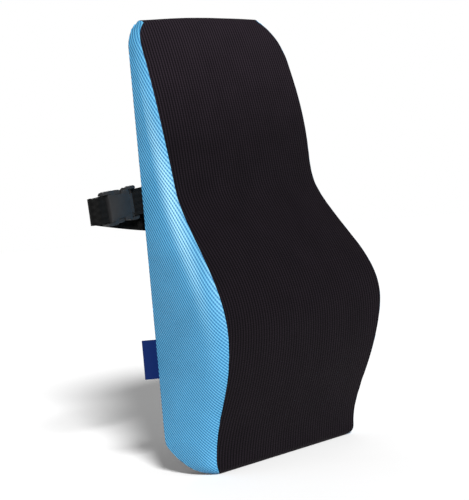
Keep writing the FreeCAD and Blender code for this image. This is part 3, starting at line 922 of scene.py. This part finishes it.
def make_strap():
    """The long webbing: round the socket's bar, back behind the cushion and up to its anchor."""
    outer_bend = bend_radius + 2 * fold_radius
    inner_back = fold_radius + 2 * bend_radius
    outer_back = 2 * outer_bend - fold_radius
    turn_x = -bend - outer_bend
    points = [(26.0 - bend, inner_back), (-bend - bend_radius, inner_back),
              (-bend - bend_radius, fold_radius), (-bar_side, fold_radius),
              (-bar_side, -fold_radius), (turn_x, -fold_radius), (turn_x, outer_back),
              (turn_x + outer_bend + 1, outer_back)]
    radii = [2.49, 2.49, 2.59, 2.59, outer_bend - 0.01, outer_bend - 0.01]
    middles = hung_path(points, radii)
    tilted = hang.to_3x3() @ Vector((0, 0, 1))
    acrosses = [tilted] * len(middles)
    back = (buckle_y + outer_back) * MM
    left = middles[-1]
    low = Vector((swag_low_x * MM, back, swag_low_z * MM))
    sewn_x = half_width(strap_height) - stitch_margin - sewn_length
    right_x = sewn_x - landing_length
    right = Vector((right_x * MM, back, strap_height * MM))
    swag = geometry.interpolate_bezier(
        left, left + Vector((55, 0, -9)) * MM, low - Vector((55, 0, 0)) * MM, low, 30)[1:]
    swag += geometry.interpolate_bezier(
        low, low + Vector((60, 0, 0)) * MM, right - Vector((45, 0, 3)) * MM, right, 30)[1:]
    landing = rounded_path([(right_x - 1, back / MM), (right_x + 4, back / MM),
                            (sewn_x, strap_end_y),
                            (sewn_x + sewn_length, strap_end_y)], [7, 7])[2:]
    swag += [Vector((p.x, p.y, strap_height)) * MM for p in landing]
    first = len(middles)
    middles += swag
    for i in range(first, len(middles)):
        ahead = middles[min(i + 1, len(middles) - 1)] - middles[i - 1]
        flat = Vector((ahead.x, 0, ahead.z))
        across = flat.cross(Vector((0, 1, 0))) if flat.length > 1e-9 else acrosses[-1]
        acrosses.append(across.normalized() * (1 if across.z > 0 else -1))
    # The fold at the left is oblique: the width swings over gradually from one leg to the other.
    start = first - 10
    for i in range(start, first + 8):
        part = (i - start) / (first + 8 - start)
        eased = part * part * (3 - 2 * part)
        acrosses[i] = tilted.lerp(acrosses[first + 8], eased).normalized()
    made = strip("strap_of_webbing", middles, acrosses, webbing_width, webbing_thickness)
    finish_piece(made, webbing, "cushion", ["strap_webbing"], sharp=50.0)


def stitch_line(bm, start, end):
    """Separate stitches from start to end on the plane y = 0, each a small flattened bead."""
    radius = 0.42
    length = 2.6
    gap = 0.9
    run = Vector(end) - Vector(start)
    count = max(1, round((run.length + gap) / (length + gap)))
    step = run / count
    for place in range(count):
        middle = Vector(start) + step * (place + 0.5)
        shape = Matrix.Diagonal((radius, radius, length / 2, 1))
        lift = Matrix.Translation(Vector((middle.x, 0, middle.y)))
        along = Matrix.Rotation(math.atan2(run.x, run.y), 4, "Y")
        scale = Matrix.Scale(MM, 4)
        bmesh.ops.create_uvsphere(bm, u_segments=8, v_segments=6, radius=1.0,
                                  matrix=scale @ lift @ along @ shape)


def make_stitching(name, node, place):
    """The box-and-cross stitching that holds one end of the strap."""
    half_x = (sewn_length - 2 * stitch_margin) / 2
    half_z = (webbing_width - 2 * stitch_margin) / 2
    bm = bmesh.new()
    corners = [(-half_x, -half_z), (half_x, -half_z), (half_x, half_z), (-half_x, half_z)]
    for start, end in zip(corners, corners[1:] + corners[:1]):
        stitch_line(bm, start, end)
    stitch_line(bm, corners[0], corners[2])
    stitch_line(bm, corners[1], corners[3])
    bmesh.ops.transform(bm, matrix=place, verts=bm.verts[:])
    made = to_object(name, bm)
    finish_piece(made, sewing_thread, "cushion", [node], sharp=60.0)


def place_in_buckle(made, name, node, body, edge=0.45):
    """Round a buckle piece's edges and hang it in its place."""
    soften(made, edge)
    made.data.transform(hang)
    made.name = name
    made.data.name = name
    finish_piece(made, acetal, body, [node], sharp=32.0)


def make_plug():
    """Plug: a flared base with a webbing slot and bar, latch seats, and a middle tongue."""
    outline = [(0, -19.6), (2.4, -20.8), (9, -21), (12.2, -20.2), (14, -18.4),
               (14, 18.4), (12.2, 20.2), (9, 21), (2.4, 20.8), (0, 19.6)]
    body = to_object("plug", slab(outline, 8.0, 1.1, cross_bow=0.12))
    cuts = [to_object("cut", slab(rectangle(-4, 8.4, -16.8, 16.8), 12.0, 1.2))]
    for side in (1, -1):
        seat = (-latch_root, 0, side * latch_offset)
        cuts.append(to_object("cut", rod(seat, 2.6, 12, (0, 1, 0))))
        low, high = sorted((side * (latch_offset - 3), side * (latch_offset + 3)))
        cuts.append(to_object("cut", slab(rectangle(latch_root, 16, low, high), 12.0)))
    boolean(body, cuts, "DIFFERENCE")
    bar = to_object("bar", slab(rectangle(0.1, 4, -17.4, 17.4), 3.5))
    tongue = slab([(13, -6), (42, -6), (44.2, -4), (44.2, 4), (42, 6), (13, 6)], 4.0, 0.8)
    boolean(body, [bar, to_object("tongue", tongue)], "UNION")
    place_in_buckle(body, "buckle_plug_moulding", "buckle_plug", "cushion")


def make_latch(side, name, node, body):
    """Latch arm: a round root, a springy arm and a ribbed thumb pad in the socket's window."""
    inner = latch_offset - 2.0
    outer = latch_offset + 2.0
    grip = []
    for rib in range(5):
        start = 30.6 + rib * 1.8
        bulge = 0.5 * math.sin(math.pi * (rib + 0.5) / 5)
        grip += [(start, 19.1 + bulge), (start + 0.5, 19.6 + bulge), (start + 1.1, 19.6 + bulge)]
    outline = [(latch_root, inner), (38.6, inner), (40.7, inner + 1.4), (40.7, 18.4)]
    outline += [(40.1, 19.2)] + grip[::-1] + [(29.4, 19.2), (28.4, 18.4), (28.4, outer + 1.2),
                                              (27.0, outer), (latch_root, outer)]
    outline = [(u, w * side) for u, w in outline]
    arm = to_object(name, slab(outline, 6.0))
    root = rod((-latch_root, 0, side * latch_offset), 2.2, 6.0, (0, 1, 0))
    boolean(arm, [to_object("root", root)], "UNION")
    place_in_buckle(arm, name, node, body, edge=0.3)


def make_socket():
    """Socket: a hollow bowed shell with a mouth, side windows and a webbing slot and bar."""
    side = [(14.8, 20.0), (16.6, 20.3), (18.6, 19.4), (20.8, 17.9), (24, 17.6), (30, 18.9),
            (36, 19.9), (42, 20.6), (48, 21), (57, 21), (61, 20.3), (63, 18.4)]
    outline = side + [(u, -w) for u, w in side[::-1]]
    shell = to_object("socket", slab(outline, 11.0, 0.9, cross_bow=0.2))
    cavity = slab([(13, -18.9), (17.5, -18.3), (20, -16.9), (25, -16.9), (45, -17.6),
                   (45, 17.6), (25, 16.9), (20, 16.9), (17.5, 18.3), (13, 18.9)], 7.0,
                  cross_bow=0.2)
    cuts = [to_object("cut", cavity)]
    for low, high in ((14.5, 26), (-26, -14.5)):
        cuts.append(to_object("cut", slab(rectangle(28, 42, low, high), 14.0, 2.4)))
    cuts.append(to_object("cut", slab(rectangle(54.6, 66, -16.8, 16.8), 14.0, 1.4)))
    boolean(shell, cuts, "DIFFERENCE")
    bar = to_object("bar", slab(rectangle(59, 62.9, -17.4, 17.4), 3.5))
    boolean(shell, [bar], "UNION")
    place_in_buckle(shell, "buckle_socket_moulding", "buckle_socket", "cushion")


make_tab()
make_strap()
tab_face = Vector((tab_reach + sewn_length / 2,
                   1.5 * webbing_thickness + 0.05 - fold_radius + 0.1, 0)) * MM
make_stitching("left_box_stitching", "left_stitching", hang @ Matrix.Translation(tab_face))
strap_face = Vector((half_width(strap_height) - stitch_margin - sewn_length / 2,
                     strap_end_y + webbing_thickness / 2 + 0.1, strap_height)) * MM
make_stitching("right_box_stitching", "right_stitching", Matrix.Translation(strap_face))
make_plug()
make_latch(1, "upper_latch_arm", "latch_arm_upper", "upper_latch")
make_latch(-1, "lower_latch_arm", "latch_arm_lower", "lower_latch")
make_socket()


# ---------------------------------------------------------------- zip

# The slider's outer plate, from the clearance over the coils to its own outer face.
outer_face = back_y - wall + 1.6 + 0.3
slider_top = outer_face + 1.5
pull_pivot_x = 146.016


def make_zip_tape(name, node, low, high):
    """One woven tape of the zip."""
    node_low, node_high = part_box(node)
    steps = 60
    level = (node_low.y + node_high.y) / 2
    middle = (low + high) / 2
    middles = [Vector((node_low.x + (node_high.x - node_low.x) * i / steps, level, middle * MM))
               for i in range(steps + 1)]
    made = strip(name, middles, [Vector((0, 0, 1))] * (steps + 1), high - low, 0.8, columns=6,
                 edge=0.2)
    finish_piece(made, zip_tape_cloth, "cushion", [node], sharp=60.0)


def make_coil(name, node, side):
    """One nylon coil: a flattened helix whose turns meet those of the other coil."""
    low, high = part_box(node)
    pitch = 1.6
    turns = int((high.x - low.x) / MM / pitch)
    around = 8
    wire = 0.32
    data = bpy.data.curves.new(name, "CURVE")
    data.dimensions = "3D"
    data.bevel_depth = wire * MM
    data.bevel_resolution = 1
    data.use_fill_caps = True
    spline = data.splines.new("POLY")
    spline.points.add(turns * around)
    middle = (low + high) / 2
    reach_y = (high.y - low.y) / 2 - wire * MM
    reach_z = (high.z - low.z) / 2 + 0.25 * MM
    for i, point in enumerate(spline.points):
        turn = 2 * math.pi * i / around + (math.pi if side < 0 else 0)
        x = low.x + 0.5 * MM + i / around * pitch * MM * (1 - 0.6 / turns)
        y = middle.y + reach_y * math.sin(turn)
        z = middle.z - side * 0.25 * MM + reach_z * math.cos(turn)
        point.co = (x, y, z, 1)
    helper = bpy.data.objects.new("helix", data)
    bpy.context.scene.collection.objects.link(helper)
    bpy.context.view_layer.update()
    mesh = bpy.data.meshes.new_from_object(
        helper.evaluated_get(bpy.context.evaluated_depsgraph_get()))
    bpy.data.objects.remove(helper)
    made = to_object(name, mesh)
    finish_piece(made, nylon, "cushion", [node], sharp=80.0)


def make_stops():
    """The two crimped end stops of the zip."""
    low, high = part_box("zip_stops")
    bm = bmesh.new()
    for start, end in ((low.x, low.x + 3 * MM), (high.x - 3 * MM, high.x)):
        size = Vector((end - start, high.y - low.y, high.z - low.z))
        centre = Vector(((start + end) / 2, (low.y + high.y) / 2, (low.z + high.z) / 2))
        bmesh.ops.create_cube(bm, size=1.0, matrix=Matrix.Translation(centre)
                              @ Matrix.Diagonal((*size, 1)))
    bmesh.ops.bevel(bm, geom=bm.edges[:], offset=0.45 * MM, offset_type="OFFSET", segments=3,
                    profile=0.5, affect="EDGES", material=-1, clamp_overlap=True)
    made = to_object("zip_end_stops", bm)
    finish_piece(made, enamel, "cushion", ["zip_stops"])


def upright_plate(outline, low_y, high_y, corner=0.0):
    """A plate from (x, z) outline points in millimetres, between two depths."""
    bm = slab([(-x, z) for x, z in outline], high_y - low_y, corner)
    bmesh.ops.translate(bm, verts=bm.verts[:], vec=(0, (low_y + high_y) / 2 * MM, 0))
    return to_object("plate", bm)


def make_slider():
    """Zip slider: two waisted plates, curled flanges and an arched bridge over the pull's eye."""
    low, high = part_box("zip_slider")
    centre = (low + high) / 2 / MM
    waist = [(-6, 2.8), (-4.4, 3.75), (-1.4, 3.95), (2.6, 3.95), (5.0, 3.7), (6, 2.8)]
    outline = waist + [(x, -z) for x, z in waist[::-1]]
    inner_face = back_y - wall - 0.8 - 0.3
    body = upright_plate(outline, outer_face, slider_top, 0.6)
    others = [upright_plate(outline, inner_face - 1.5, inner_face, 0.6),
              upright_plate(rectangle(-3, 3, -0.3, 0.3), inner_face - 0.1, outer_face + 0.1)]
    for start, end in ((2.9, 3.9), (-3.9, -2.9)):
        others.append(upright_plate(rectangle(-5.2, 5.2, start, end), back_y - wall + 0.3,
                                    outer_face + 0.1))
    bridge = upright_plate(rectangle(-4, 4, -1.3, 1.3), slider_top - 0.1, slider_top + 3.7)
    soften(bridge, 0.9, 4, 60)
    tunnel = upright_plate(rectangle(-2.2, 2.2, -6, 6), slider_top, slider_top + 2.2)
    boolean(bridge, [tunnel], "DIFFERENCE")
    boolean(body, others + [bridge], "UNION")
    soften(body, 0.22, 2, 40)
    body.data.transform(Matrix.Translation(Vector((centre.x, 0, zip_height)) * MM))
    body.name = "zip_slider_body"
    finish_piece(body, enamel, "slider", ["zip_slider"], sharp=40.0)


def make_pull():
    """Zip pull: a crossbar, two arms and a rounded paddle with a hole near its end."""
    pivot = Vector((pull_pivot_x, slider_top + 1.1, zip_height))
    arms = []
    body = to_object("pull", slab([(5.2, -3.0), (8.0, -3.8), (20, -4), (24, -2.6), (24, 2.6),
                                   (20, 4), (8.0, 3.8), (5.2, 3.0)], 1.2, 0.9))
    for start, end in ((1.6, 2.8), (-2.8, -1.6)):
        arms.append(to_object("arm", slab(rectangle(-0.7, 6.4, start, end), 1.2, 0.3)))
    arms.append(to_object("pin", rod((0, 0, 0), 0.75, 5.0, (0, 0, 1))))
    boolean(body, arms, "UNION")
    hole = to_object("hole", slab(rectangle(17.2, 21.6, -1.7, 1.7), 4.0, 1.5))
    window = to_object("hole", slab(rectangle(8.6, 14.6, -1.5, 1.5), 4.0, 0.9))
    boolean(body, [hole, window], "DIFFERENCE")
    soften(body, 0.2, 2, 40)
    body.data.transform(Matrix.Translation(pivot * MM))
    body.name = "zip_pull_paddle"
    finish_piece(body, enamel, "pull", ["zip_pull"], sharp=40.0)


make_zip_tape("upper_zip_tape", "zip_tape_upper", zip_height + 0.6, zip_height + 14)
make_zip_tape("lower_zip_tape", "zip_tape_lower", zip_height - 14, zip_height - 0.6)
make_coil("upper_zip_coil", "zip_coil_upper", 1)
make_coil("lower_zip_coil", "zip_coil_lower", -1)
make_stops()
make_slider()
make_pull()


# ---------------------------------------------------------------- label

def make_label():
    """The plain folded loop label in the seam between the left side and the back."""
    turn = Matrix.Rotation(math.radians(25), 4, "Z")
    taper = math.atan2((base_width - top_width) / 2, height)
    place = Matrix.Translation(Vector((-half_width(145.0), back_y, 145.0)) * MM)
    place @= Matrix.Rotation(taper, 4, "Y") @ turn
    points = [(0.34, -2.0), (0.34, 17.0), (-0.34, 17.0), (-0.34, -2.0)]
    path = rounded_path(points, [0.335, 0.335], arc_steps=6, run=1.5)
    middles = []
    for p in path:
        bow = 0.5 * math.sin(math.pi * max(p.y, 0) / 17.0)
        middles.append(place @ (Vector((p.x + bow, p.y, 0)) * MM))
    across = place.to_3x3() @ Vector((0, 0, 1))
    made = strip("seam_loop_label", middles, [across] * len(middles), 48.0, 0.5, columns=24,
                 edge=0.12)
    finish_piece(made, ribbon_cloth, "cushion", ["seam_label"], sharp=60.0)


make_label()


# ---------------------------------------------------------------- stage, light and camera

surround_strength = 0.28
# Each light is its name, its energy, its angular size in degrees and the way toward it.
key_light = ("key_light", 6.4, 9, (-0.695, -0.719, 0.45))
fill_light = ("rear_fill_light", 1.0, 30, (0.75, 0.6, 0.2))
# The camera's azimuth, elevation and roll in degrees; lengths in metres.
camera_turns = (-54.0, 2.1, -6.2)
camera_target = (0, 0.038, 0.2632)
camera_distance = 2.5626
camera_lens = 143.6
camera_shift_right = 0.0136
camera_shift_up = 0.001


def make_stage():
    """A wide pale floor, an even white surround and a key light from the front left."""
    bm = bmesh.new()
    bmesh.ops.create_grid(bm, x_segments=1, y_segments=1, size=8.0)
    floor = to_object("studio_floor", bm)
    floor.data.materials.append(paper)
    world = bpy.data.worlds.new("white_surround")
    world.use_nodes = True
    background = world.node_tree.nodes["Background"]
    background.inputs["Color"].default_value = (1, 1, 1, 1)
    # The surround shows as pure white paper and lights the cushion at a part of that strength.
    seen = add(world.node_tree, "LightPath").outputs["Is Camera Ray"]
    level = add(world.node_tree, "MapRange", {"Value": seen, "To Min": surround_strength})
    world.node_tree.links.new(level.outputs["Result"], background.inputs["Strength"])
    bpy.context.scene.world = world
    for name, energy, spread, toward in (key_light, fill_light):
        light = bpy.data.lights.new(name, "SUN")
        light.energy = energy
        light.angle = math.radians(spread)
        lamp = bpy.data.objects.new(name, light)
        lamp.rotation_mode = "QUATERNION"
        lamp.rotation_quaternion = Vector(toward).to_track_quat("Z", "Y")
        bpy.context.scene.collection.objects.link(lamp)
    bpy.context.scene.view_settings.view_transform = "Standard"


def make_camera():
    """A long lens at cushion height, looking at the front left, rolled a little."""
    azimuth, elevation, roll = (math.radians(a) for a in camera_turns)
    back = Vector((math.sin(azimuth) * math.cos(elevation),
                   -math.cos(azimuth) * math.cos(elevation), math.sin(elevation)))
    level = (-back).cross(Vector((0, 0, 1))).normalized()
    upright = level.cross(-back)
    right = math.cos(roll) * level + math.sin(roll) * upright
    up = math.cos(roll) * upright - math.sin(roll) * level
    data = bpy.data.cameras.new("camera")
    data.lens = camera_lens
    data.sensor_width = 36.0
    camera = bpy.data.objects.new("camera", data)
    axes = Matrix((right, up, back)).transposed()
    place = Vector(camera_target) + back * camera_distance
    place += right * camera_shift_right + up * camera_shift_up
    camera.matrix_world = Matrix.Translation(place) @ axes.to_4x4()
    bpy.context.scene.collection.objects.link(camera)
    bpy.context.scene.camera = camera


make_stage()
make_camera()
